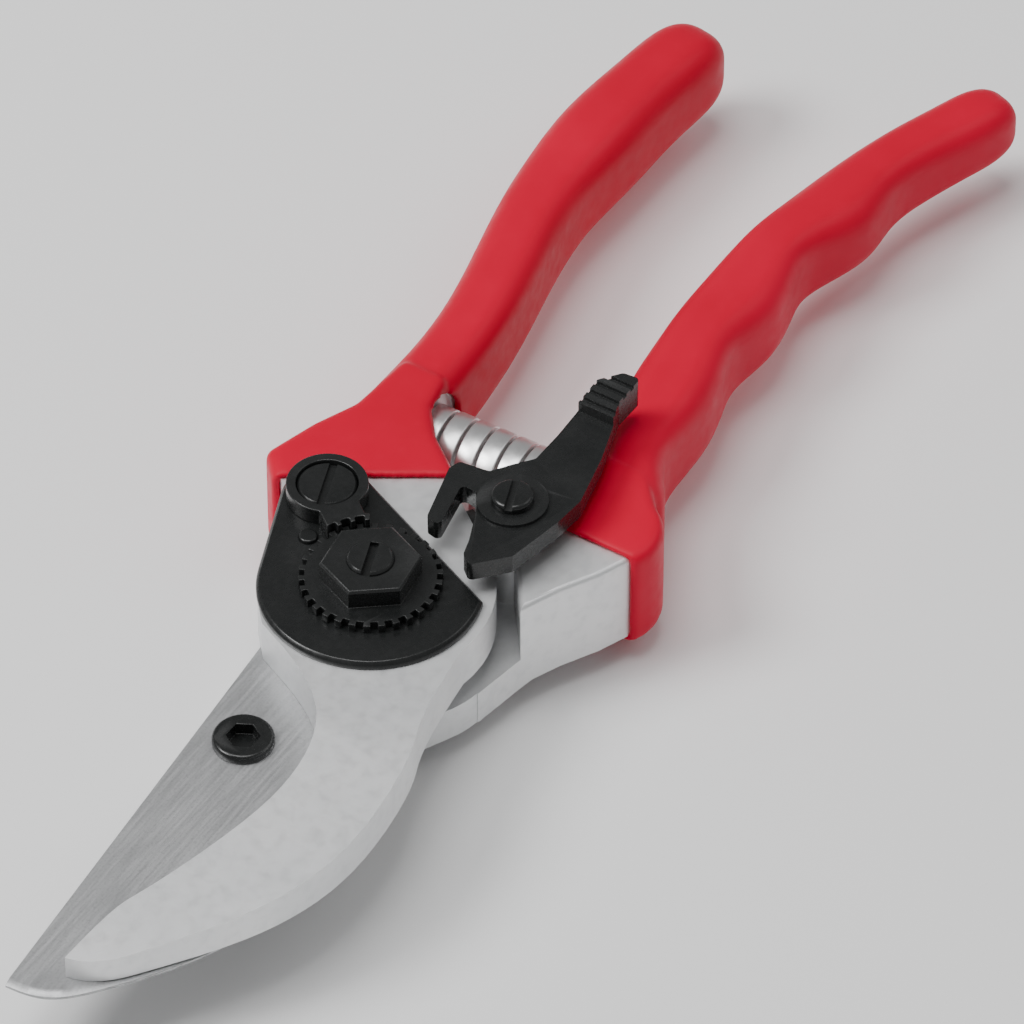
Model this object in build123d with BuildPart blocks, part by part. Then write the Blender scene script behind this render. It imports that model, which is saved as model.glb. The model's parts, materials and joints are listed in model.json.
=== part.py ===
"""Bypass pruner with forged aluminium levers, lying flat, closed and latched.

Frame: millimetres. The origin is on the pivot axis at the flat underside of the bolt head.
+X runs along the tool from the pivot to the handles, +Y to the hook lever's side and +Z up
through the stack, from the bolt head to the nut. The blade lever is the lower half of the
lapped joint. The hook lever, whose hook and head are one forging, is the upper half.
"""
import os
from math import acos, atan2, cos, degrees, hypot, radians, sin

from build123d import *

os.makedirs("parts", exist_ok=True)

# ---- Stack on the pivot, from the underside of the bolt head upwards ----
bolt_head_height = 3.0
washer_thickness = 0.75
running_gap = 0.05          # play between faces that slide on each other
blade_head_thickness = 5.5
blade_thickness = 3.0
hook_head_thickness = 6.8
plate_thickness = 1.2
flange_thickness = 1.3
hex_height = 2.9
bolt_end_height = 0.5       # thread showing above the nut

washer_z = bolt_head_height
blade_head_z = washer_z + washer_thickness + running_gap
blade_z = blade_head_z + blade_head_thickness
blade_top_z = blade_z + blade_thickness
hook_z = blade_top_z + running_gap
face_z = hook_z + hook_head_thickness
plate_top_z = face_z + plate_thickness
flange_top_z = plate_top_z + flange_thickness
hex_top_z = flange_top_z + hex_height
bolt_top_z = hex_top_z + bolt_end_height

# ---- Pivot ----
bolt_r = 4.0
bolt_head_r = 6.5
thread_r = 3.2
bolt_slot_width = 1.2
bolt_slot_depth = 1.0
running_fit = 0.03          # radial clearance of a turning fit
bushing_wall = 1.5
bushing_r = bolt_r + running_fit + bushing_wall
washer_r = 7.5
nut_across_flats = 12.0
hex_turn = 8.0              # degrees from +X to a flat of the hexagon
flange_r = 9.7
tooth_count = 30
tooth_depth = 0.8
edge_break = 0.3

# ---- Cover plate and the segment that locks the nut ----
plate_r = 15.4
segment_at = (10.4, 13.8)
plate_small_r = 6.4
plate_corner_angle = -70.6    # where the plate's straight edge leaves its large round
plate_small_end_angle = -28.0  # where that edge meets the small round
plate_edge_break = 0.5
plate_clearance = 0.4       # between the plate's edge and the red grip
segment_r = 5.6
segment_thickness = 2.6
segment_recess_depth = 1.2
segment_screw_head_r = 4.1
segment_screw_r = 2.0
segment_screw_length = 7.5
mesh_gap = 0.15             # play between the nut's teeth and the segment
pin_at = (2.4, 11.6)
pin_r = 1.3
pin_length = 5.0
pin_proud = 0.5

# ---- Lever roots and handles ----
head_r = 16.8               # round of the hook lever's head about the pivot
lap_r = 19.9                # inside this radius the levers are lapped, outside full thickness
mid_z = 11.8                # mid height of both handles
root_half_height = face_z - mid_z  # of the bare forging, flush with the hook lever's face
grip_wall = 1.2
grip_top_wall = 1.0
root_edge_radius = 1.6
forging_edge_radius = 0.8
tang_end_gap = 6.0          # from a tang's end to the end of its grip, along X
handle_corner = 0.72        # corner radius of a handle's section, as a share of its half width
mouth_angle = 32.6          # direction in which the hook grip's mouth faces away from the pivot
mouth_distance = 20.5
blade_mouth_x = 22.8

# Handle stations: x, y, half width, half height of the grip's section.
hook_stations = [
    (29.0, 16.0, 5.8, 8.2),
    (36.0, 16.7, 5.1, 7.8),
    (45.0, 17.2, 4.7, 7.4),
    (57.0, 18.7, 4.8, 7.1),
    (70.0, 21.6, 5.0, 7.0),
    (80.0, 23.6, 5.2, 7.0),
    (90.0, 24.5, 5.8, 7.0),
    (103.0, 24.4, 6.0, 7.0),
    (112.8, 23.7, 5.8, 6.7),
    (119.4, 22.9, 5.2, 6.0),
    (122.4, 22.4, 3.3, 3.9),
]
blade_stations = [
    (34.0, -18.6, 5.0, 7.9),
    (40.5, -15.7, 4.6, 7.6),
    (48.0, -13.6, 4.8, 7.2),
    (56.0, -12.3, 5.9, 7.2),
    (63.0, -11.0, 5.5, 7.1),
    (69.0, -10.1, 5.2, 7.0),
    (77.0, -10.3, 6.0, 6.8),
    (84.0, -9.7, 5.4, 6.6),
    (90.0, -9.4, 4.7, 6.5),
    (96.0, -10.6, 5.2, 6.3),
    (102.0, -12.0, 5.8, 6.1),
    (109.0, -12.6, 4.8, 5.8),
    (118.0, -14.7, 4.5, 5.5),
    (126.0, -17.5, 4.7, 5.2),
    (131.6, -19.5, 4.2, 4.7),
    (134.0, -20.3, 2.7, 3.1),
]

# ---- Hook ----
hook_tip = (-74.5, -1.6)
hook_drop_from_x = -24.0    # from here towards the tip the hook's face slopes down
hook_drop = 3.4

# ---- Cutting blade ----
blade_tip = (-79.6, 4.4)
blade_hub_r = 14.6
blade_spine_at = (-10.4, 10.25)
bevel_height = 2.2
bevel_width = 5.0
back_bevel_height = 0.4
back_bevel_width = 1.2
screw_at = (-27.5, 2.3)
screw_boss_r = 6.4
relief_from_x = -6.0
spine_relief = 0.4          # how far the lever's head may stand out past the blade's spine
blade_head_r = 15.2
head_cheek_at = (1.0, -3.6)  # a second round widens the head towards its own handle
head_cheek_r = 14.0
screw_head_r = 4.2
screw_head_height = 1.3
screw_r = 2.5
socket_across_flats = 4.0
socket_depth = 1.8
dowel_at = (-11.6, 4.4)
dowel_r = 1.5

# ---- Latch ----
latch_at = (18.9, -10.4)
latch_boss_r = 3.8
latch_lift = 0.3            # the latch swings this far above the nut's flange
latch_washer_thickness = 0.45
latch_thickness = 3.0
latch_collar_r = 4.9
latch_collar_height = 0.5
latch_screw_r = 2.0
latch_screw_head_r = 2.9
latch_screw_head_height = 1.2
latch_screw_depth = 9.0     # into the boss
pad_height = 1.6
latch_z = flange_top_z + latch_lift
latch_top_z = latch_z + latch_thickness
latch_boss_top_z = latch_z - running_gap - latch_washer_thickness
pad_from_x = 38.5
pad_groove_count = 4
pad_groove_pitch = 1.8
pad_groove_width = 0.8
pad_groove_depth = 0.5

# ---- Return spring, pegs and bumper ----
spring_x = 34.0
seat_hook_y = 13.6          # flats on the forgings that the spring's ends sit on
seat_blade_y = -15.0
seat_gap = 0.15
spring_hook_r = 4.9         # mean radius of the wire at the hook lever's end
spring_blade_r = 5.6        # and at the blade lever's end
wire_thickness = 1.1
wire_width = 2.7
spring_turns = 8.0
peg_r = 2.4
peg_proud = 4.5
peg_depth = 4.0
pocket_r = 6.9
lug_half_width = 3.3
lug_half_height = 6.3
bumper_r = 2.6
bumper_length = 2.5
bumper_gap = 0.3
bumper_stem_r = 1.2
bumper_stem_length = 3.0
shoulder_from = (16.2, -6.6)
shoulder_to = (28.2, 9.3)
bumper_along = 0.40         # where the bumper meets the shoulder, from its lower end


def polar(radius, angle):
    """Point at a radius and an angle in degrees about the pivot."""
    return (radius * cos(radians(angle)), radius * sin(radians(angle)))


def station_plane(stations, index):
    """Plane across a handle at one of its stations, with local x along the half width."""
    before = stations[max(index - 1, 0)]
    after = stations[min(index + 1, len(stations) - 1)]
    run = (after[0] - before[0], after[1] - before[1])
    length = hypot(*run)
    x, y = stations[index][:2]
    return Plane(
        origin=(x, y, mid_z),
        x_dir=(-run[1] / length, run[0] / length, 0),
        z_dir=(run[0] / length, run[1] / length, 0),
    )


def handle_loft(stations, inset):
    """Loft through a handle's stations, each drawn in by the inset; a private solid."""
    sections = []
    for index, (_, _, half_width, half_height) in enumerate(stations):
        width = 2 * (half_width - inset)
        height = 2 * (half_height - inset)
        corner = handle_corner * width / 2
        with BuildSketch(station_plane(stations, index), mode=Mode.PRIVATE) as section:
            RectangleRounded(width, height, corner)
        sections.append(section.sketch.face())
    return loft(sections=sections, mode=Mode.PRIVATE)


def handle_tang(stations):
    """Forged tang inside a grip: the grip's loft less its wall, cut off short of its end."""
    tang = handle_loft(stations, grip_wall)
    end = Plane(origin=(stations[-1][0] - tang_end_gap, 0, 0), z_dir=(1, 0, 0))
    return tang.split(end, keep=Keep.BOTTOM)


# ---- Directions that several pieces share ----
shoulder_run = (shoulder_to[0] - shoulder_from[0], shoulder_to[1] - shoulder_from[1])
shoulder_length = hypot(*shoulder_run)
shoulder_dir = (shoulder_run[0] / shoulder_length, shoulder_run[1] / shoulder_length)
shoulder_out = (shoulder_dir[1], -shoulder_dir[0])
shoulder_point = (
    shoulder_from[0] + bumper_along * shoulder_run[0],
    shoulder_from[1] + bumper_along * shoulder_run[1],
)
bumper_face = bumper_gap + bumper_length
lug_face = (
    shoulder_point[0] + bumper_face * shoulder_out[0],
    shoulder_point[1] + bumper_face * shoulder_out[1],
)
bumper_plane = Plane(
    origin=(lug_face[0], lug_face[1], mid_z),
    x_dir=(shoulder_dir[0], shoulder_dir[1], 0),
    z_dir=(-shoulder_out[0], -shoulder_out[1], 0),
)
hook_tang = handle_tang(hook_stations)
blade_tang = handle_tang(blade_stations)
mouth_plane = Plane(
    origin=(*polar(mouth_distance, mouth_angle), mid_z),
    z_dir=(cos(radians(mouth_angle)), sin(radians(mouth_angle)), 0),
)
blade_mouth_plane = Plane(origin=(blade_mouth_x, 0, mid_z), z_dir=(1, 0, 0))


def hook_root_outline(margin):
    """Full-thickness root of the hook lever, grown by a margin for the grip over it."""
    with BuildSketch(mode=Mode.PRIVATE) as outline:
        with BuildLine():
            Polyline(
                polar(lap_r, 68.0),
                (14.0, 24.8),
                (21.5, 22.6),
                (28.0, 19.8),
                (38.0, 19.0),
                (38.0, 13.8),
                (32.5, 12.6),
                shoulder_to,
                polar(lap_r, -5.0),
            )
            ThreePointArc(polar(lap_r, -5.0), polar(lap_r, 30.0), polar(lap_r, 68.0))
        make_face()
        if margin:
            offset(amount=margin, kind=Kind.ARC)
    return outline.sketch


def blade_root_outline(margin):
    """Full-thickness root of the blade lever, grown by a margin for the grip over it."""
    with BuildSketch(mode=Mode.PRIVATE) as outline:
        with BuildLine():
            Polyline((7.4, -19.0), (13.3, -21.6), (18.5, -24.5), (24.0, -26.8))
            ThreePointArc((24.0, -26.8), (28.8, -26.8), (32.2, -23.8))
            Polyline((32.2, -23.8), (37.0, -19.4), (37.0, -12.4), (28.0, -12.5), (23.5, -8.0))
            Polyline((23.5, -8.0), (16.6, -12.0), (7.4, -19.0))
        make_face()
        if margin:
            offset(amount=margin, kind=Kind.ARC)
    return outline.sketch

# ---- Cover plate outline ----
plate_axis = degrees(atan2(segment_at[1], segment_at[0]))
plate_centre_distance = hypot(*segment_at)
plate_tangent_angle = plate_axis + degrees(
    acos((plate_r - plate_small_r) / plate_centre_distance)
)


def plate_small_point(angle):
    """Point on the plate's small round at an angle in degrees about the segment screw."""
    x, y = polar(plate_small_r, angle)
    return (segment_at[0] + x, segment_at[1] + y)


def lug_corner(side):
    """Corner of the stop lug's end face, at its lower (-1) or upper (1) end."""
    return (
        lug_face[0] + side * lug_half_width * shoulder_dir[0],
        lug_face[1] + side * lug_half_width * shoulder_dir[1],
    )


def relief_point(x):
    """Point at x on the line that the blade lever's head is cut back to, along the spine."""
    slope = (blade_spine_at[1] - blade_tip[1]) / (blade_spine_at[0] - blade_tip[0])
    return (x, blade_tip[1] + slope * (x - blade_tip[0]) + spine_relief)


with BuildSketch(mode=Mode.PRIVATE) as lug_outline:
    with BuildLine():
        Polyline(
            lug_corner(-1), lug_corner(1), (28.2, -2.0), (28.2, -14.0), (20.0, -12.0), close=True
        )
    make_face()


# ---- Sizes that follow from the ones above ----
hook_cut_reach = 30.0
tooth_pitch = 360.0 / tooth_count
tooth_space = radians(tooth_pitch) * flange_r / 2
segment_tooth_angles = [
    tooth_pitch * (round(plate_axis / tooth_pitch) + step) for step in (-1, 0, 1)
]
segment_reach = plate_centre_distance
segment_screw_seat_z = plate_top_z + segment_thickness - segment_recess_depth
segment_screw_reach = segment_screw_length - (segment_screw_seat_z - face_z)
segment_screw_head_height = 1.0
screw_slot_width = 1.1
screw_slot_depth = 0.6
screw_slot_turn = 20.0
pin_depth = pin_length - plate_thickness
dowel_depth = 4.0
latch_screw_head_z = latch_top_z + latch_collar_height + running_gap
latch_corner_r = 0.7
spring_height = seat_hook_y - seat_blade_y - 2 * seat_gap - wire_width

# ======== Hook lever ========
with BuildPart() as hook_handle:
    with BuildSketch(Plane.XY.offset(hook_z)):
        with BuildLine():
            Spline(
                hook_tip, (-68.5, -9.6), (-56.0, -17.9), (-39.5, -22.7), (-22.0, -20.8),
                polar(head_r, -100.0),
                tangents=[(0.15, -1), (1, 0.12)],
            )
            ThreePointArc(
                polar(head_r, -100.0), polar(head_r, -60.0), polar(head_r, -27.0)
            )
            Polyline(polar(head_r, -27.0), shoulder_from, shoulder_to, (30.0, 14.0), (28.0, 19.0))
            Polyline((28.0, 19.0), (14.0, 24.8), polar(lap_r, 68.0), (-10.0, 11.6), (-13.4, 8.6))
            Spline(
                (-13.4, 8.6), (-18.0, -0.8), (-23.5, -6.8), (-32.5, -9.6), (-45.0, -8.4),
                (-60.0, -4.0), hook_tip,
                tangents=[(-0.45, -1), (-1, 0.06)],
            )
        make_face()
    extrude(amount=hook_head_thickness)
    with BuildSketch(Plane.XZ):
        with BuildLine():
            Polyline(
                (hook_drop_from_x, face_z),
                (hook_tip[0] - 5, face_z - hook_drop),
                (hook_tip[0] - 5, face_z + 1),
                (hook_drop_from_x, face_z + 1),
                close=True,
            )
        make_face()
    extrude(amount=hook_cut_reach, both=True, mode=Mode.SUBTRACT)
    with BuildSketch(Plane.XY.offset(mid_z - root_half_height)):
        add(hook_root_outline(0))
    extrude(amount=2 * root_half_height)
    add(hook_tang)
    with BuildSketch(Plane.XZ.offset(-seat_hook_y)):
        with Locations((spring_x, mid_z)):
            Circle(pocket_r)
    extrude(amount=seat_hook_y, mode=Mode.SUBTRACT)
    with BuildSketch(Plane.XY.offset(hook_z)):
        Circle(bolt_r)
    extrude(amount=hook_head_thickness, mode=Mode.SUBTRACT)
    with BuildSketch(Plane.XY.offset(face_z)):
        with Locations(segment_at):
            Circle(segment_screw_r)
    extrude(amount=-segment_screw_reach, mode=Mode.SUBTRACT)
    with BuildSketch(Plane.XY.offset(face_z)):
        with Locations(pin_at):
            Circle(pin_r)
    extrude(amount=-pin_depth, mode=Mode.SUBTRACT)
    with BuildSketch(Plane.XZ.offset(-seat_hook_y)):
        with Locations((spring_x, mid_z)):
            Circle(peg_r)
    extrude(amount=-peg_depth, mode=Mode.SUBTRACT)

with BuildPart() as hook_grip:
    with BuildSketch(Plane.XY.offset(mid_z - root_half_height - grip_top_wall)):
        add(hook_root_outline(grip_wall))
    extrude(amount=2 * (root_half_height + grip_top_wall))
    fillet(hook_grip.faces().sort_by(Axis.Z)[-1].edges(), radius=root_edge_radius)
    fillet(hook_grip.faces().sort_by(Axis.Z)[0].edges(), radius=root_edge_radius)
    add(handle_loft(hook_stations, 0))
    split(bisect_by=mouth_plane, keep=Keep.TOP)
    with BuildSketch(Plane.XY.offset(mid_z - root_half_height)):
        add(hook_root_outline(0))
    extrude(amount=2 * root_half_height, mode=Mode.SUBTRACT)
    add(hook_tang, mode=Mode.SUBTRACT)
    with BuildSketch(Plane.XZ.offset(-seat_hook_y)):
        with Locations((spring_x, mid_z)):
            Circle(pocket_r)
    extrude(amount=seat_hook_y, mode=Mode.SUBTRACT)
    with BuildSketch(Plane.XY.offset(face_z)):
        with Locations(segment_at):
            Circle(plate_small_r + plate_clearance)
    extrude(amount=root_half_height, mode=Mode.SUBTRACT)

with BuildPart() as cover_plate:
    with BuildSketch(Plane.XY.offset(face_z)):
        with BuildLine():
            Line(polar(plate_r, plate_corner_angle), plate_small_point(plate_small_end_angle))
            ThreePointArc(
                plate_small_point(plate_small_end_angle),
                plate_small_point(plate_axis),
                plate_small_point(plate_tangent_angle),
            )
            Line(plate_small_point(plate_tangent_angle), polar(plate_r, plate_tangent_angle))
            ThreePointArc(
                polar(plate_r, plate_tangent_angle),
                polar(plate_r, 180.0),
                polar(plate_r, plate_corner_angle),
            )
        make_face()
    extrude(amount=plate_thickness)
    chamfer(cover_plate.faces().sort_by(Axis.Z)[-1].edges(), length=plate_edge_break)
    with BuildSketch(Plane.XY.offset(face_z)):
        Circle(thread_r)
        with Locations(segment_at):
            Circle(segment_screw_r)
        with Locations(pin_at):
            Circle(pin_r)
    extrude(amount=plate_thickness, mode=Mode.SUBTRACT)

with BuildPart() as pivot_nut:
    with BuildSketch(Plane.XY.offset(plate_top_z)):
        Circle(flange_r)
        with PolarLocations(flange_r, tooth_count):
            Rectangle(2 * tooth_depth, tooth_space, mode=Mode.SUBTRACT)
    extrude(amount=flange_thickness)
    with BuildSketch(Plane.XY.offset(flange_top_z)):
        RegularPolygon(nut_across_flats / 2, 6, major_radius=False, rotation=hex_turn)
    extrude(amount=hex_height)
    chamfer(pivot_nut.faces().sort_by(Axis.Z)[-1].edges(), length=edge_break)
    with BuildSketch(Plane.XY.offset(plate_top_z)):
        Circle(thread_r)
    extrude(amount=flange_thickness + hex_height, mode=Mode.SUBTRACT)

with BuildPart() as lock_segment:
    with BuildSketch(Plane.XY.offset(plate_top_z)):
        with Locations(segment_at):
            Circle(segment_r)
        with Locations(Location((*polar(segment_reach / 2, plate_axis), 0), plate_axis)):
            Rectangle(segment_reach, segment_r)
        Circle(flange_r + mesh_gap, mode=Mode.SUBTRACT)
        for tooth_angle in segment_tooth_angles:
            with Locations(Location((*polar(flange_r, tooth_angle), 0), tooth_angle)):
                Rectangle(2 * (tooth_depth - mesh_gap), tooth_space - 2 * mesh_gap)
    extrude(amount=segment_thickness)
    with BuildSketch(Plane.XY.offset(plate_top_z + segment_thickness)):
        with Locations(segment_at):
            Circle(segment_screw_head_r + mesh_gap)
    extrude(amount=-segment_recess_depth, mode=Mode.SUBTRACT)
    with BuildSketch(Plane.XY.offset(plate_top_z)):
        with Locations(segment_at):
            Circle(segment_screw_r)
    extrude(amount=segment_thickness, mode=Mode.SUBTRACT)

with BuildPart() as segment_screw:
    with BuildSketch(Plane.XY.offset(segment_screw_seat_z)):
        with Locations(segment_at):
            Circle(segment_screw_head_r)
    extrude(amount=segment_screw_head_height)
    chamfer(segment_screw.faces().sort_by(Axis.Z)[-1].edges(), length=edge_break)
    with BuildSketch(Plane.XY.offset(segment_screw_seat_z)):
        with Locations(segment_at):
            Circle(segment_screw_r)
    extrude(amount=-segment_screw_length)
    with BuildSketch(Plane.XY.offset(segment_screw_seat_z + segment_screw_head_height)):
        with Locations(Location((*segment_at, 0), screw_slot_turn)):
            Rectangle(2 * segment_screw_head_r, screw_slot_width)
    extrude(amount=-screw_slot_depth, mode=Mode.SUBTRACT)

with BuildPart() as segment_pin:
    with BuildSketch(Plane.XY.offset(face_z - pin_depth)):
        with Locations(pin_at):
            Circle(pin_r)
    extrude(amount=pin_depth + plate_thickness + pin_proud)
    fillet(segment_pin.faces().sort_by(Axis.Z)[-1].edges(), radius=edge_break)

with BuildPart() as pivot_bolt:
    with BuildSketch(Plane.XY):
        Circle(bolt_head_r)
    extrude(amount=bolt_head_height)
    chamfer(pivot_bolt.faces().sort_by(Axis.Z)[0].edges(), length=edge_break)
    with BuildSketch(Plane.XY.offset(bolt_head_height)):
        Circle(bolt_r)
    extrude(amount=face_z - bolt_head_height)
    with BuildSketch(Plane.XY.offset(face_z)):
        Circle(thread_r)
    extrude(amount=bolt_top_z - face_z)
    chamfer(pivot_bolt.faces().sort_by(Axis.Z)[-1].edges(), length=edge_break)
    with BuildSketch(Plane.XY.offset(bolt_top_z)):
        with Locations(Location((0, 0, 0), screw_slot_turn)):
            Rectangle(2 * thread_r, bolt_slot_width)
    extrude(amount=-bolt_slot_depth, mode=Mode.SUBTRACT)

with BuildPart() as bolt_washer:
    with BuildSketch(Plane.XY.offset(washer_z)):
        Circle(washer_r)
        Circle(bolt_r, mode=Mode.SUBTRACT)
    extrude(amount=washer_thickness)

with BuildPart() as hook_spring_peg:
    with BuildSketch(Plane.XZ.offset(-seat_hook_y - peg_depth)):
        with Locations((spring_x, mid_z)):
            Circle(peg_r)
    extrude(amount=peg_depth + peg_proud)
    fillet(hook_spring_peg.faces().sort_by(Axis.Y)[0].edges(), radius=2 * edge_break)

# ======== Blade lever ========
with BuildPart() as blade_handle:
    with BuildSketch(Plane.XY.offset(blade_head_z)):
        with BuildSketch(mode=Mode.PRIVATE) as head_rounds:
            Circle(blade_head_r)
            with Locations(head_cheek_at):
                Circle(head_cheek_r)
            with Locations(screw_at):
                Circle(screw_boss_r)
        add(make_hull(head_rounds.sketch.edges(), mode=Mode.PRIVATE))
        with BuildLine():
            Polyline(
                relief_point(relief_from_x),
                (relief_from_x, blade_head_r),
                (2 * screw_at[0], blade_head_r),
                relief_point(2 * screw_at[0]),
                close=True,
            )
        make_face(mode=Mode.SUBTRACT)
        with BuildLine():
            Polyline(
                (0, 0), (-1.0, -17.6), (7.4, -19.0), (15.0, -20.5), (23.5, -8.0),
                polar(blade_head_r, 0.0),
                close=True,
            )
        make_face()
    extrude(amount=blade_head_thickness)
    with BuildSketch(Plane.XY.offset(mid_z - root_half_height)) as shank:
        add(blade_root_outline(0))
    extrude(amount=2 * root_half_height)
    fillet(blade_handle.faces().sort_by(Axis.Z)[-1].edges(), radius=forging_edge_radius)
    add(blade_tang)
    with BuildSketch(Plane.XY.offset(mid_z - lug_half_height)):
        add(lug_outline.sketch)
    extrude(amount=2 * lug_half_height)
    with BuildSketch(Plane.XY.offset(blade_head_z)):
        with Locations(latch_at):
            Circle(latch_boss_r)
    extrude(amount=latch_boss_top_z - blade_head_z)
    with BuildSketch(Plane.XZ.offset(-seat_blade_y)):
        with Locations((spring_x, mid_z)):
            Circle(pocket_r)
    extrude(amount=seat_blade_y, mode=Mode.SUBTRACT)
    with BuildSketch(Plane.XY.offset(blade_head_z)):
        Circle(bushing_r)
        with Locations(screw_at):
            Circle(screw_r)
    extrude(amount=blade_head_thickness, mode=Mode.SUBTRACT)
    with BuildSketch(Plane.XY.offset(blade_z)):
        with Locations(dowel_at):
            Circle(dowel_r)
    extrude(amount=-dowel_depth, mode=Mode.SUBTRACT)
    with BuildSketch(Plane.XY.offset(latch_boss_top_z)):
        with Locations(latch_at):
            Circle(latch_screw_r)
    extrude(amount=-latch_screw_depth, mode=Mode.SUBTRACT)
    with BuildSketch(Plane.XZ.offset(-seat_blade_y)):
        with Locations((spring_x, mid_z)):
            Circle(peg_r)
    extrude(amount=peg_depth, mode=Mode.SUBTRACT)
    with BuildSketch(bumper_plane):
        Circle(bumper_stem_r)
    extrude(amount=-bumper_stem_length, mode=Mode.SUBTRACT)

with BuildPart() as blade_grip:
    with BuildSketch(Plane.XY.offset(mid_z - root_half_height - grip_top_wall)):
        add(blade_root_outline(grip_wall))
    extrude(amount=2 * (root_half_height + grip_top_wall))
    fillet(blade_grip.faces().sort_by(Axis.Z)[-1].edges(), radius=root_edge_radius)
    fillet(blade_grip.faces().sort_by(Axis.Z)[0].edges(), radius=root_edge_radius)
    add(handle_loft(blade_stations, 0))
    split(bisect_by=blade_mouth_plane, keep=Keep.TOP)
    with BuildSketch(Plane.XY.offset(mid_z - root_half_height)):
        add(blade_root_outline(0))
    extrude(amount=2 * root_half_height, mode=Mode.SUBTRACT)
    add(blade_tang, mode=Mode.SUBTRACT)
    with BuildSketch(Plane.XY.offset(mid_z - lug_half_height)):
        add(lug_outline.sketch)
    extrude(amount=2 * lug_half_height, mode=Mode.SUBTRACT)
    with BuildSketch(Plane.XZ.offset(-seat_blade_y)):
        with Locations((spring_x, mid_z)):
            Circle(pocket_r)
    extrude(amount=seat_blade_y, mode=Mode.SUBTRACT)

with BuildPart() as cutting_blade:
    with BuildSketch(Plane.XY.offset(blade_z)):
        with BuildLine():
            Line(blade_tip, blade_spine_at)
            ThreePointArc(blade_spine_at, (blade_hub_r, 0), polar(blade_hub_r, -105.0))
            Spline(
                polar(blade_hub_r, -105.0), (-24.0, -17.0), (-40.0, -19.0), (-54.0, -17.2),
                (-64.0, -13.0), (-73.0, -6.9), (-78.8, -0.6), blade_tip,
                tangents=[(-1, -0.27), (-0.05, 1)],
            )
        make_face()
    extrude(amount=blade_thickness)
    for side, width, height in ((0, bevel_width, bevel_height), (-1, back_bevel_width, back_bevel_height)):
        flat = cutting_blade.faces().sort_by(Axis.Z)[side]
        cutting_edge = flat.edges().filter_by(GeomType.BSPLINE)
        chamfer(cutting_edge, length=width, length2=height, reference=flat)
    with BuildSketch(Plane.XY.offset(blade_z)):
        Circle(bushing_r)
        with Locations(screw_at):
            Circle(screw_r)
        with Locations(dowel_at):
            Circle(dowel_r)
    extrude(amount=blade_thickness, mode=Mode.SUBTRACT)

with BuildPart() as blade_screw:
    with BuildSketch(Plane.XY.offset(blade_top_z)):
        with Locations(screw_at):
            Circle(screw_head_r)
    extrude(amount=screw_head_height)
    fillet(blade_screw.faces().sort_by(Axis.Z)[-1].edges(), radius=2 * edge_break)
    with BuildSketch(Plane.XY.offset(blade_top_z)):
        with Locations(screw_at):
            Circle(screw_r)
    extrude(amount=blade_head_z - blade_top_z)
    with BuildSketch(Plane.XY.offset(blade_top_z + screw_head_height)):
        with Locations(screw_at):
            RegularPolygon(socket_across_flats / 2, 6, major_radius=False)
    extrude(amount=-socket_depth, mode=Mode.SUBTRACT)

with BuildPart() as blade_dowel:
    with BuildSketch(Plane.XY.offset(blade_z - dowel_depth)):
        with Locations(dowel_at):
            Circle(dowel_r)
    extrude(amount=dowel_depth + blade_thickness)

with BuildPart() as pivot_bushing:
    with BuildSketch(Plane.XY.offset(blade_head_z)):
        Circle(bushing_r)
        Circle(bolt_r + running_fit, mode=Mode.SUBTRACT)
    extrude(amount=blade_head_thickness + blade_thickness)

with BuildPart() as blade_spring_peg:
    with BuildSketch(Plane.XZ.offset(-seat_blade_y + peg_depth)):
        with Locations((spring_x, mid_z)):
            Circle(peg_r)
    extrude(amount=-peg_depth - peg_proud)
    fillet(blade_spring_peg.faces().sort_by(Axis.Y)[-1].edges(), radius=2 * edge_break)

with BuildPart() as bumper:
    with BuildSketch(bumper_plane):
        Circle(bumper_r)
    extrude(amount=bumper_length)
    fillet(bumper.faces().sort_by(Axis.Y)[-1].edges(), radius=2 * edge_break)
    with BuildSketch(bumper_plane):
        Circle(bumper_stem_r)
    extrude(amount=-bumper_stem_length)

with BuildPart() as latch_screw:
    with BuildSketch(Plane.XY.offset(latch_top_z + latch_collar_height + running_gap)):
        with Locations(latch_at):
            Circle(latch_screw_head_r)
    extrude(amount=latch_screw_head_height)
    fillet(latch_screw.faces().sort_by(Axis.Z)[-1].edges(), radius=2 * edge_break)
    with BuildSketch(Plane.XY.offset(latch_top_z + latch_collar_height + running_gap)):
        with Locations(latch_at):
            Circle(latch_screw_r)
    extrude(amount=latch_boss_top_z - latch_screw_depth - latch_screw_head_z)
    with BuildSketch(Plane.XY.offset(latch_screw_head_z + latch_screw_head_height)):
        with Locations(Location((*latch_at, 0), screw_slot_turn)):
            Rectangle(2 * latch_screw_head_r, screw_slot_width)
    extrude(amount=-screw_slot_depth, mode=Mode.SUBTRACT)

with BuildPart() as latch_washer:
    with BuildSketch(Plane.XY.offset(latch_boss_top_z)):
        with Locations(latch_at):
            Circle(latch_boss_r)
            Circle(latch_screw_r, mode=Mode.SUBTRACT)
    extrude(amount=latch_washer_thickness)

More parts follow.
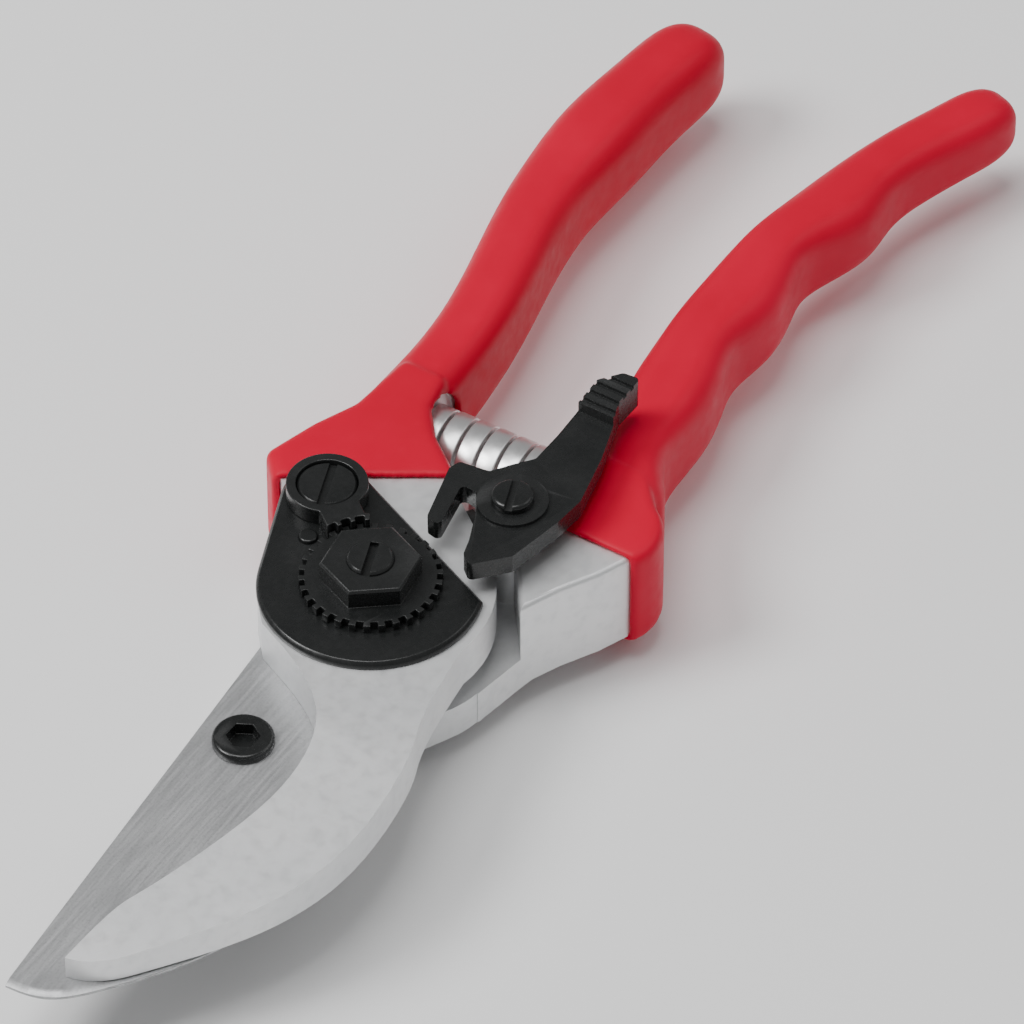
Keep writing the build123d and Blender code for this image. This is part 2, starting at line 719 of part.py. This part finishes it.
# ======== Latch ========
with BuildPart() as latch_lever:
    with BuildSketch(Plane.XY.offset(latch_z)) as latch_outline:
        with BuildLine():
            Polyline(
                (43.6, -8.3), (33.0, -8.7), (27.6, -8.6), (24.8, -6.4), (22.2, -4.6),
                (21.6, -0.2), (19.8, 0.3), (10.4, -2.2), (9.9, -4.5), (18.1, -2.9),
                (17.8, -5.6), (14.0, -7.6), (9.6, -9.4), (7.2, -10.1), (5.8, -11.8),
                (10.3, -15.9), (19.0, -17.6), (24.0, -18.0), (32.3, -16.1), (41.6, -13.1),
                (46.9, -13.2), (46.6, -10.6),
                close=True,
            )
        make_face()
        fillet(latch_outline.vertices(), radius=latch_corner_r)
    extrude(amount=latch_thickness)
    with BuildSketch(Plane.XY.offset(latch_top_z)):
        add(latch_outline.sketch)
        with Locations((pad_from_x, latch_at[1])):
            Rectangle(40, 40, align=(Align.MAX, Align.CENTER), mode=Mode.SUBTRACT)
    extrude(amount=pad_height)
    with BuildSketch(Plane.XY.offset(latch_top_z + pad_height)):
        with Locations((pad_from_x + pad_groove_count * pad_groove_pitch / 2, latch_at[1])):
            with GridLocations(pad_groove_pitch, 0, pad_groove_count, 1):
                Rectangle(pad_groove_width, 2 * pad_groove_pitch * pad_groove_count)
    extrude(amount=-pad_groove_depth, mode=Mode.SUBTRACT)
    with BuildSketch(Plane.XY.offset(latch_top_z)):
        with Locations(latch_at):
            Circle(latch_collar_r)
    extrude(amount=latch_collar_height)
    with BuildSketch(Plane.XY.offset(latch_z)):
        with Locations(latch_at):
            Circle(latch_screw_r + running_fit)
    extrude(amount=latch_thickness + latch_collar_height, mode=Mode.SUBTRACT)

# ======== Return spring ========
with BuildPart() as return_spring:
    with BuildLine() as spring_path:
        Helix(
            pitch=spring_height / spring_turns,
            height=spring_height,
            radius=spring_hook_r,
            center=(spring_x, seat_hook_y - seat_gap - wire_width / 2, mid_z),
            direction=(0, -1, 0),
            cone_angle=degrees(atan2(spring_blade_r - spring_hook_r, spring_height)),
        )
    wire_start = Plane(
        origin=spring_path.line @ 0,
        x_dir=(spring_path.line @ 0) - Vector(spring_x, (spring_path.line @ 0).Y, mid_z),
        z_dir=spring_path.line % 0,
    )
    with BuildSketch(wire_start):
        Rectangle(wire_thickness, wire_width)
    sweep(path=spring_path.line, is_frenet=True)

pieces = {
    "hook_handle": hook_handle,
    "hook_grip": hook_grip,
    "cover_plate": cover_plate,
    "pivot_nut": pivot_nut,
    "lock_segment": lock_segment,
    "segment_screw": segment_screw,
    "segment_pin": segment_pin,
    "pivot_bolt": pivot_bolt,
    "bolt_washer": bolt_washer,
    "hook_spring_peg": hook_spring_peg,
    "blade_handle": blade_handle,
    "blade_grip": blade_grip,
    "cutting_blade": cutting_blade,
    "blade_screw": blade_screw,
    "blade_dowel": blade_dowel,
    "pivot_bushing": pivot_bushing,
    "blade_spring_peg": blade_spring_peg,
    "bumper": bumper,
    "latch_screw": latch_screw,
    "latch_washer": latch_washer,
    "latch_lever": latch_lever,
    "return_spring": return_spring,
}
for name, piece in pieces.items():
    piece.part.label = name
    export_step(piece.part, f"parts/{name}.step")
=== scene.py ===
"""Looks for the bypass pruner: materials, rounded edges, the coil of the return spring,
studio light and camera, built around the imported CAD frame."""
import json
import math

import bmesh
import bpy
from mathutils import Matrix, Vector


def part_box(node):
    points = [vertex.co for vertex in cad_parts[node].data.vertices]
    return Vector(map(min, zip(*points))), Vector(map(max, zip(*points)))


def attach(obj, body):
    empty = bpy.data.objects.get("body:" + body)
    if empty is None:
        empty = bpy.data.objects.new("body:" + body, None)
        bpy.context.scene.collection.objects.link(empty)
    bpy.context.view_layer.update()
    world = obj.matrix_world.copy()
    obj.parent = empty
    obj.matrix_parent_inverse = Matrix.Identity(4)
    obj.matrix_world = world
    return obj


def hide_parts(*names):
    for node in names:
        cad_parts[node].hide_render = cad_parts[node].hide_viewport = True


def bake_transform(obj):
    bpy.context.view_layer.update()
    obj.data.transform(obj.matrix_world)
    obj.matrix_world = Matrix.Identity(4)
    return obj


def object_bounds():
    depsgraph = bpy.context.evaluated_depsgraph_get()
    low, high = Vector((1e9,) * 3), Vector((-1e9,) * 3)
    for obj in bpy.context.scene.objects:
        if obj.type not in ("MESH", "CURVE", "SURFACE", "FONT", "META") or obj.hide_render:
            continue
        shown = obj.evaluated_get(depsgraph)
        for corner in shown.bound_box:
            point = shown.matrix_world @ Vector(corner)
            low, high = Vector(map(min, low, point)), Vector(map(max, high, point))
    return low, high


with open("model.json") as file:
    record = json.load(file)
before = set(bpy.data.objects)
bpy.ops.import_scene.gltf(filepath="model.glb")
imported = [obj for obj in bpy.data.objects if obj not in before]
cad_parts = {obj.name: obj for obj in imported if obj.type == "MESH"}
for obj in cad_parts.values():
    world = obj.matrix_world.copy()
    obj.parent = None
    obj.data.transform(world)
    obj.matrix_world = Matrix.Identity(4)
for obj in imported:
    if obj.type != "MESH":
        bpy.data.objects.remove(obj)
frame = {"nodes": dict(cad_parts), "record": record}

cad_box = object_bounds()

# ---------------------------------------------------------------- sizes, in metres and degrees
MM = 0.001

weld_distance = 0.002 * MM        # corners closer than this are one corner
coplanar_angle = 0.5              # faces that differ by less than this are one flat
bevel_angle = 32.0                # edges sharper than this are rounded
bevel_segments = 2
edge_radii = {
    "hook_handle": 0.45 * MM,
    "blade_handle": 0.45 * MM,
    "cutting_blade": 0.12 * MM,
    "cover_plate": 0.12 * MM,
    "pivot_nut": 0.10 * MM,
    "lock_segment": 0.18 * MM,
    "latch_lever": 0.35 * MM,
    "segment_screw": 0.08 * MM,
    "pivot_bolt": 0.08 * MM,
    "latch_screw": 0.08 * MM,
    "blade_screw": 0.10 * MM,
}

skin_voxel = 0.45 * MM            # mesh size of the dipped grips
skin_passes = 8                   # smoothing passes that soften the grips' edges
skin_smoothing = 0.5

strip_thickness = 1.1 * MM        # return spring, across its flat strip
strip_width = 2.7 * MM            # and along the coil
strip_corner = 0.18 * MM
strip_corner_points = 4
coil_turns = 8
coil_steps_per_turn = 44
coil_taper = 0.7 * MM             # the hook lever's end of the coil is this much smaller

floor_half = 3.0
floor_colour = (0.93, 0.93, 0.93)
floor_roughness = 0.9

view_target = Vector((0.0282, -0.0044, 0.012))
camera_place = Vector((-0.6576, -0.4413, 0.8252))
camera_lens = 297
camera_sensor = 36
camera_clip = (0.05, 20)

# name: (place, disk diameter, watts)
studio_lights = {
    "key": ((-0.40, 0.55, 0.85), 0.5, 8.0),
    "fill": ((0.55, -0.45, 0.8), 0.6, 1.2),
    "top": ((-0.05, 0.10, 1.2), 0.7, 6.5),
}
world_strength = 0.27
white = (1, 1, 1, 1)


# ---------------------------------------------------------------- material helpers
def new_material(name):
    material = bpy.data.materials.new(name)
    material.use_nodes = True
    tree = material.node_tree
    shader = tree.nodes["Principled BSDF"]
    return material, tree, shader


def object_noise(tree, scale, detail, roughness=0.55, stretch=(1, 1, 1)):
    """Noise in the object's own coordinates; scale is in features per metre."""
    coords = tree.nodes.new("ShaderNodeTexCoord")
    mapping = tree.nodes.new("ShaderNodeMapping")
    mapping.inputs["Scale"].default_value = stretch
    noise = tree.nodes.new("ShaderNodeTexNoise")
    noise.inputs["Scale"].default_value = scale
    noise.inputs["Detail"].default_value = detail
    noise.inputs["Roughness"].default_value = roughness
    tree.links.new(coords.outputs["Object"], mapping.inputs["Vector"])
    tree.links.new(mapping.outputs["Vector"], noise.inputs["Vector"])
    return noise.outputs["Fac"]


def ramp(tree, source, *stops):
    """Colour ramp from (position, colour) stops."""
    node = tree.nodes.new("ShaderNodeValToRGB")
    elements = node.color_ramp.elements
    while len(elements) < len(stops):
        elements.new(1)
    for element, (position, colour) in zip(elements, stops):
        element.position = position
        element.color = (*colour, 1)
    tree.links.new(source, node.inputs["Fac"])
    return node.outputs["Color"]


def map_range(tree, source, low, high, from_low=0.3, from_high=0.7):
    """Turns from_low to from_high, which is most of a noise's range, into low to high."""
    node = tree.nodes.new("ShaderNodeMapRange")
    node.inputs["From Min"].default_value = from_low
    node.inputs["From Max"].default_value = from_high
    node.inputs["To Min"].default_value = low
    node.inputs["To Max"].default_value = high
    tree.links.new(source, node.inputs["Value"])
    return node.outputs["Result"]


def wear_and_highlight_mix(tree, base, source, share, starts, ends, colour):
    """Base colour with up to this share of another colour where source is high: wear on most
    materials, painted highlight on the black parts' convex edges.
    """
    factor = map_range(tree, source, 0, share, starts, ends)
    node = tree.nodes.new("ShaderNodeMix")
    node.data_type = "RGBA"
    tree.links.new(factor, node.inputs["Factor"])
    tree.links.new(base, node.inputs["A"])
    node.inputs["B"].default_value = (*colour, 1)
    return node.outputs["Result"]


def set_colour(tree, shader, colour):
    tree.links.new(colour, shader.inputs["Base Color"])


def set_roughness(tree, shader, source, low, high):
    tree.links.new(map_range(tree, source, low, high), shader.inputs["Roughness"])


def bump(tree, shader, *layers):
    """Chain of bump layers: (height, strength, distance in metres)."""
    normal = None
    for height, strength, distance in layers:
        node = tree.nodes.new("ShaderNodeBump")
        node.inputs["Strength"].default_value = strength
        node.inputs["Distance"].default_value = distance
        tree.links.new(height, node.inputs["Height"])
        if normal is not None:
            tree.links.new(normal, node.inputs["Normal"])
        normal = node.outputs["Normal"]
    tree.links.new(normal, shader.inputs["Normal"])


def convex_edges(tree):
    """Above a half where the surface is a convex edge."""
    return tree.nodes.new("ShaderNodeNewGeometry").outputs["Pointiness"]


# ---------------------------------------------------------------- materials
def red_dip():
    material, tree, shader = new_material("red_dip")
    broad = object_noise(tree, scale=38, detail=3)
    fine = object_noise(tree, scale=420, detail=5)
    speck = object_noise(tree, scale=2400, detail=2)
    base = ramp(
        tree, broad,
        (0.30, (0.560, 0.0002, 0.0260)),
        (0.55, (0.620, 0.0002, 0.0310)),
        (0.80, (0.680, 0.0003, 0.0360)),
    )
    handled = wear_and_highlight_mix(
        tree, base, fine, share=0.14, starts=0.55, ends=0.8, colour=(0.70, 0.001, 0.040)
    )
    set_colour(tree, shader, handled)
    set_roughness(tree, shader, fine, 0.36, 0.50)
    shader.inputs["Specular IOR Level"].default_value = 0.14
    shader.inputs["Coat Weight"].default_value = 0.02
    shader.inputs["Coat Roughness"].default_value = 0.25
    bump(tree, shader, (broad, 0.10, 0.60 * MM), (fine, 0.12, 0.12 * MM), (speck, 0.10, 0.03 * MM))
    return material


def forged_aluminium():
    material, tree, shader = new_material("forged_aluminium")
    broad = object_noise(tree, scale=70, detail=4)
    blast = object_noise(tree, scale=1700, detail=6, roughness=0.65)
    grain = object_noise(tree, scale=520, detail=3)
    base = ramp(
        tree, broad,
        (0.30, (0.74, 0.75, 0.76)),
        (0.55, (0.80, 0.805, 0.81)),
        (0.80, (0.85, 0.855, 0.86)),
    )
    scuffed = wear_and_highlight_mix(
        tree, base, grain, share=0.30, starts=0.5, ends=0.72, colour=(0.62, 0.63, 0.64)
    )
    set_colour(tree, shader, scuffed)
    shader.inputs["Metallic"].default_value = 0.70
    set_roughness(tree, shader, grain, 0.38, 0.52)
    bump(tree, shader, (grain, 0.10, 0.15 * MM), (blast, 0.16, 0.05 * MM))
    return material


def blade_steel():
    material, tree, shader = new_material("blade_steel")
    broad = object_noise(tree, scale=55, detail=4)
    brush = object_noise(tree, scale=900, detail=4, roughness=0.6, stretch=(0.12, 2.2, 1))
    grit = object_noise(tree, scale=2600, detail=4)
    base = ramp(
        tree, broad,
        (0.30, (0.40, 0.405, 0.41)),
        (0.55, (0.47, 0.475, 0.48)),
        (0.80, (0.54, 0.545, 0.55)),
    )
    streaked = wear_and_highlight_mix(
        tree, base, brush, share=0.35, starts=0.42, ends=0.7, colour=(0.60, 0.60, 0.61)
    )
    pitted = wear_and_highlight_mix(
        tree, streaked, grit, share=0.45, starts=0.5, ends=0.7, colour=(0.30, 0.30, 0.31)
    )
    set_colour(tree, shader, pitted)
    shader.inputs["Metallic"].default_value = 0.72
    set_roughness(tree, shader, brush, 0.34, 0.50)
    bump(tree, shader, (brush, 0.12, 0.06 * MM), (grit, 0.12, 0.03 * MM))
    return material


def black_oxide():
    material, tree, shader = new_material("black_oxide")
    broad = object_noise(tree, scale=140, detail=4)
    fine = object_noise(tree, scale=1500, detail=5)
    base = ramp(
        tree, broad,
        (0.30, (0.008, 0.009, 0.009)),
        (0.60, (0.013, 0.014, 0.014)),
        (0.85, (0.022, 0.023, 0.023)),
    )
    # painted highlight: the convex edges of the black parts are a lighter black, standing in for
    # edges catching the light
    edge_highlighted = wear_and_highlight_mix(
        tree, base, convex_edges(tree), share=1, starts=0.53, ends=0.66,
        colour=(0.035, 0.036, 0.036),
    )
    set_colour(tree, shader, edge_highlighted)
    shader.inputs["Metallic"].default_value = 0.15
    set_roughness(tree, shader, fine, 0.20, 0.34)
    shader.inputs["Specular IOR Level"].default_value = 0.55
    bump(tree, shader, (broad, 0.08, 0.20 * MM), (fine, 0.10, 0.04 * MM))
    return material


def bright_steel():
    material, tree, shader = new_material("bright_steel")
    broad = object_noise(tree, scale=160, detail=3)
    draw = object_noise(tree, scale=1800, detail=4, roughness=0.6, stretch=(1, 3, 1))
    base = ramp(tree, broad, (0.3, (0.78, 0.78, 0.78)), (0.7, (0.88, 0.88, 0.88)))
    set_colour(tree, shader, base)
    shader.inputs["Metallic"].default_value = 0.95
    set_roughness(tree, shader, draw, 0.28, 0.42)
    bump(tree, shader, (draw, 0.10, 0.04 * MM))
    return material


def bronze():
    material, tree, shader = new_material("bronze")
    broad = object_noise(tree, scale=150, detail=3)
    lathe = object_noise(tree, scale=2200, detail=3, roughness=0.5, stretch=(0.2, 0.2, 4))
    base = ramp(tree, broad, (0.3, (0.40, 0.24, 0.09)), (0.7, (0.52, 0.33, 0.14)))
    set_colour(tree, shader, base)
    shader.inputs["Metallic"].default_value = 0.95
    set_roughness(tree, shader, lathe, 0.28, 0.42)
    bump(tree, shader, (lathe, 0.12, 0.05 * MM))
    return material


def black_rubber():
    material, tree, shader = new_material("black_rubber")
    broad = object_noise(tree, scale=300, detail=3)
    fine = object_noise(tree, scale=2600, detail=4)
    base = ramp(tree, broad, (0.3, (0.014, 0.014, 0.014)), (0.7, (0.028, 0.027, 0.026)))
    set_colour(tree, shader, base)
    set_roughness(tree, shader, fine, 0.62, 0.82)
    bump(tree, shader, (fine, 0.2, 0.06 * MM))
    return material


slot_materials = {
    "forged_aluminium": forged_aluminium(),
    "red_grip": red_dip(),
    "blade_steel": blade_steel(),
    "black_steel": black_oxide(),
    "spring_steel": bright_steel(),
    "bronze": bronze(),
    "rubber_black": black_rubber(),
}
node_slot = {entry["node"]: entry["material_slot"] for entry in frame["record"]["subparts"]}
node_body = {
    node: body for body, nodes in frame["record"]["behaviour"]["bodies"].items() for node in nodes
}

for node, shape in frame["nodes"].items():
    shape.data.materials.clear()
    shape.data.materials.append(slot_materials[node_slot[node]])


# ---------------------------------------------------------------- pieces from the CAD shapes
def link(mesh, name, node):
    """Object for a mesh that stands for a CAD node, with that node's material."""
    piece = bpy.data.objects.new(name, mesh)
    bpy.context.scene.collection.objects.link(piece)
    mesh.materials.clear()
    mesh.materials.append(slot_materials[node_slot[node]])
    return piece


def adopt(piece, node):
    """The piece takes the place of its CAD node, on the same body."""
    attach(piece, node_body[node])
    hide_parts(node)


def shade_smooth(faces):
    for face in faces:
        face.smooth = True


def welded_copy(node, flat_angle=None):
    """Copy of a CAD node's mesh with its split corners welded, and flats as single faces."""
    mesh = frame["nodes"][node].data.copy()
    work = bmesh.new()
    work.from_mesh(mesh)
    bmesh.ops.remove_doubles(work, verts=work.verts, dist=weld_distance)
    if flat_angle is not None:
        bmesh.ops.dissolve_limit(
            work, angle_limit=math.radians(flat_angle), verts=work.verts, edges=work.edges
        )
    shade_smooth(work.faces)
    work.to_mesh(mesh)
    work.free()
    return mesh


def apply_modifiers(piece):
    bpy.context.view_layer.update()
    graph = bpy.context.evaluated_depsgraph_get()
    mesh = bpy.data.meshes.new_from_object(piece.evaluated_get(graph))
    piece.modifiers.clear()
    piece.data = mesh


def rounded(node, radius):
    """CAD node with its sharp edges rounded off."""
    piece = link(welded_copy(node, coplanar_angle), node + "_rounded", node)
    bevel = piece.modifiers.new("bevel", "BEVEL")
    bevel.width = radius
    bevel.segments = bevel_segments
    bevel.limit_method = "ANGLE"
    bevel.angle_limit = math.radians(bevel_angle)
    bevel.miter_outer = "MITER_ARC"
    bevel.use_clamp_overlap = True
    normals = piece.modifiers.new("normals", "WEIGHTED_NORMAL")
    normals.keep_sharp = True
    apply_modifiers(piece)
    adopt(piece, node)


def softened(node):
    """CAD node as a soft-edged skin: an even mesh, relaxed so that edges and joins flow."""
    piece = link(welded_copy(node), node + "_skin", node)
    remesh = piece.modifiers.new("remesh", "REMESH")
    remesh.mode = "VOXEL"
    remesh.voxel_size = skin_voxel
    remesh.use_smooth_shade = True
    smooth = piece.modifiers.new("smooth", "SMOOTH")
    smooth.factor = skin_smoothing
    smooth.iterations = skin_passes
    apply_modifiers(piece)
    adopt(piece, node)


for node in ("hook_grip", "blade_grip"):
    softened(node)

for node, radius in edge_radii.items():
    rounded(node, radius)


# ---------------------------------------------------------------- return spring
def strip_section():
    """Corners of the rounded strip: (across, along) the coil, counterclockwise."""
    half_across = strip_thickness / 2 - strip_corner
    half_along = strip_width / 2 - strip_corner
    points = []
    for side_x, side_y, start in ((1, 1, 0), (-1, 1, 90), (-1, -1, 180), (1, -1, 270)):
        for step in range(strip_corner_points):
            angle = math.radians(start + 90 / (strip_corner_points - 1) * step)
            points.append((
                side_x * half_across + strip_corner * math.cos(angle),
                side_y * half_along + strip_corner * math.sin(angle),
            ))
    return points


def coil_mesh(name):
    """Flat-strip coil between the seats, growing from the hook lever's end to the other."""
    low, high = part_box("return_spring")
    centre_x = (low.x + high.x) / 2
    centre_z = (low.z + high.z) / 2
    end_r = (high.z - low.z) / 2 - strip_thickness / 2
    start_r = end_r - coil_taper
    run = (high.y - low.y) - strip_width
    section = strip_section()
    ring_count = coil_turns * coil_steps_per_turn + 1

    work = bmesh.new()
    rings = []
    for index in range(ring_count):
        share = index / (ring_count - 1)
        angle = 2 * math.pi * coil_turns * share
        radius = start_r + (end_r - start_r) * share
        y = high.y - strip_width / 2 - run * share
        rings.append([
            work.verts.new((
                centre_x + (radius + across) * math.cos(angle),
                y + along,
                centre_z + (radius + across) * math.sin(angle),
            ))
            for across, along in section
        ])
    for first, second in zip(rings, rings[1:]):
        for here in range(len(section)):
            after = (here + 1) % len(section)
            work.faces.new((first[here], first[after], second[after], second[here]))
    work.faces.new(rings[0])
    work.faces.new(list(reversed(rings[-1])))
    bmesh.ops.recalc_face_normals(work, faces=work.faces)
    shade_smooth(work.faces)
    mesh = bpy.data.meshes.new(name)
    work.to_mesh(mesh)
    work.free()
    return mesh, Vector((centre_x, high.y, centre_z)), Vector((centre_x, low.y, centre_z))


coil, coil_start, coil_end = coil_mesh("spring_coil")
spring = link(coil, "spring_coil", "return_spring")
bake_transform(spring)
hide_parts("return_spring")


# ---------------------------------------------------------------- stage
def stage_floor():
    """Pale paper under the pruner, at the height that it rests on."""
    low, _ = cad_box
    mesh = bpy.data.meshes.new("floor")
    work = bmesh.new()
    work.faces.new([
        work.verts.new((side_x * floor_half, side_y * floor_half, low[2]))
        for side_x, side_y in ((-1, -1), (1, -1), (1, 1), (-1, 1))
    ])
    work.to_mesh(mesh)
    work.free()
    floor = bpy.data.objects.new("floor", mesh)
    bpy.context.scene.collection.objects.link(floor)
    material, _, shader = new_material("floor_paper")
    shader.inputs["Base Color"].default_value = (*floor_colour, 1)
    shader.inputs["Roughness"].default_value = floor_roughness
    mesh.materials.append(material)


def place_towards(item, place, target):
    """Puts a lamp or camera in place, looking at the target."""
    item.location = place
    item.rotation_euler = (target - Vector(place)).to_track_quat("-Z", "Y").to_euler()
    bpy.context.scene.collection.objects.link(item)


def area_light(name, place, size, watts):
    data = bpy.data.lights.new(name, "AREA")
    data.shape = "DISK"
    data.size = size
    data.energy = watts
    place_towards(bpy.data.objects.new(name, data), place, view_target)


stage_floor()
for name, (place, size, watts) in studio_lights.items():
    area_light(name, place, size, watts)

world = bpy.data.worlds.new("studio")
world.use_nodes = True
world.node_tree.nodes["Background"].inputs["Color"].default_value = white
world.node_tree.nodes["Background"].inputs["Strength"].default_value = world_strength
bpy.context.scene.world = world

camera_data = bpy.data.cameras.new("camera")
camera_data.lens = camera_lens
camera_data.sensor_width = camera_sensor
camera_data.clip_start, camera_data.clip_end = camera_clip
camera = bpy.data.objects.new("camera", camera_data)
place_towards(camera, camera_place, view_target)
bpy.context.scene.camera = camera
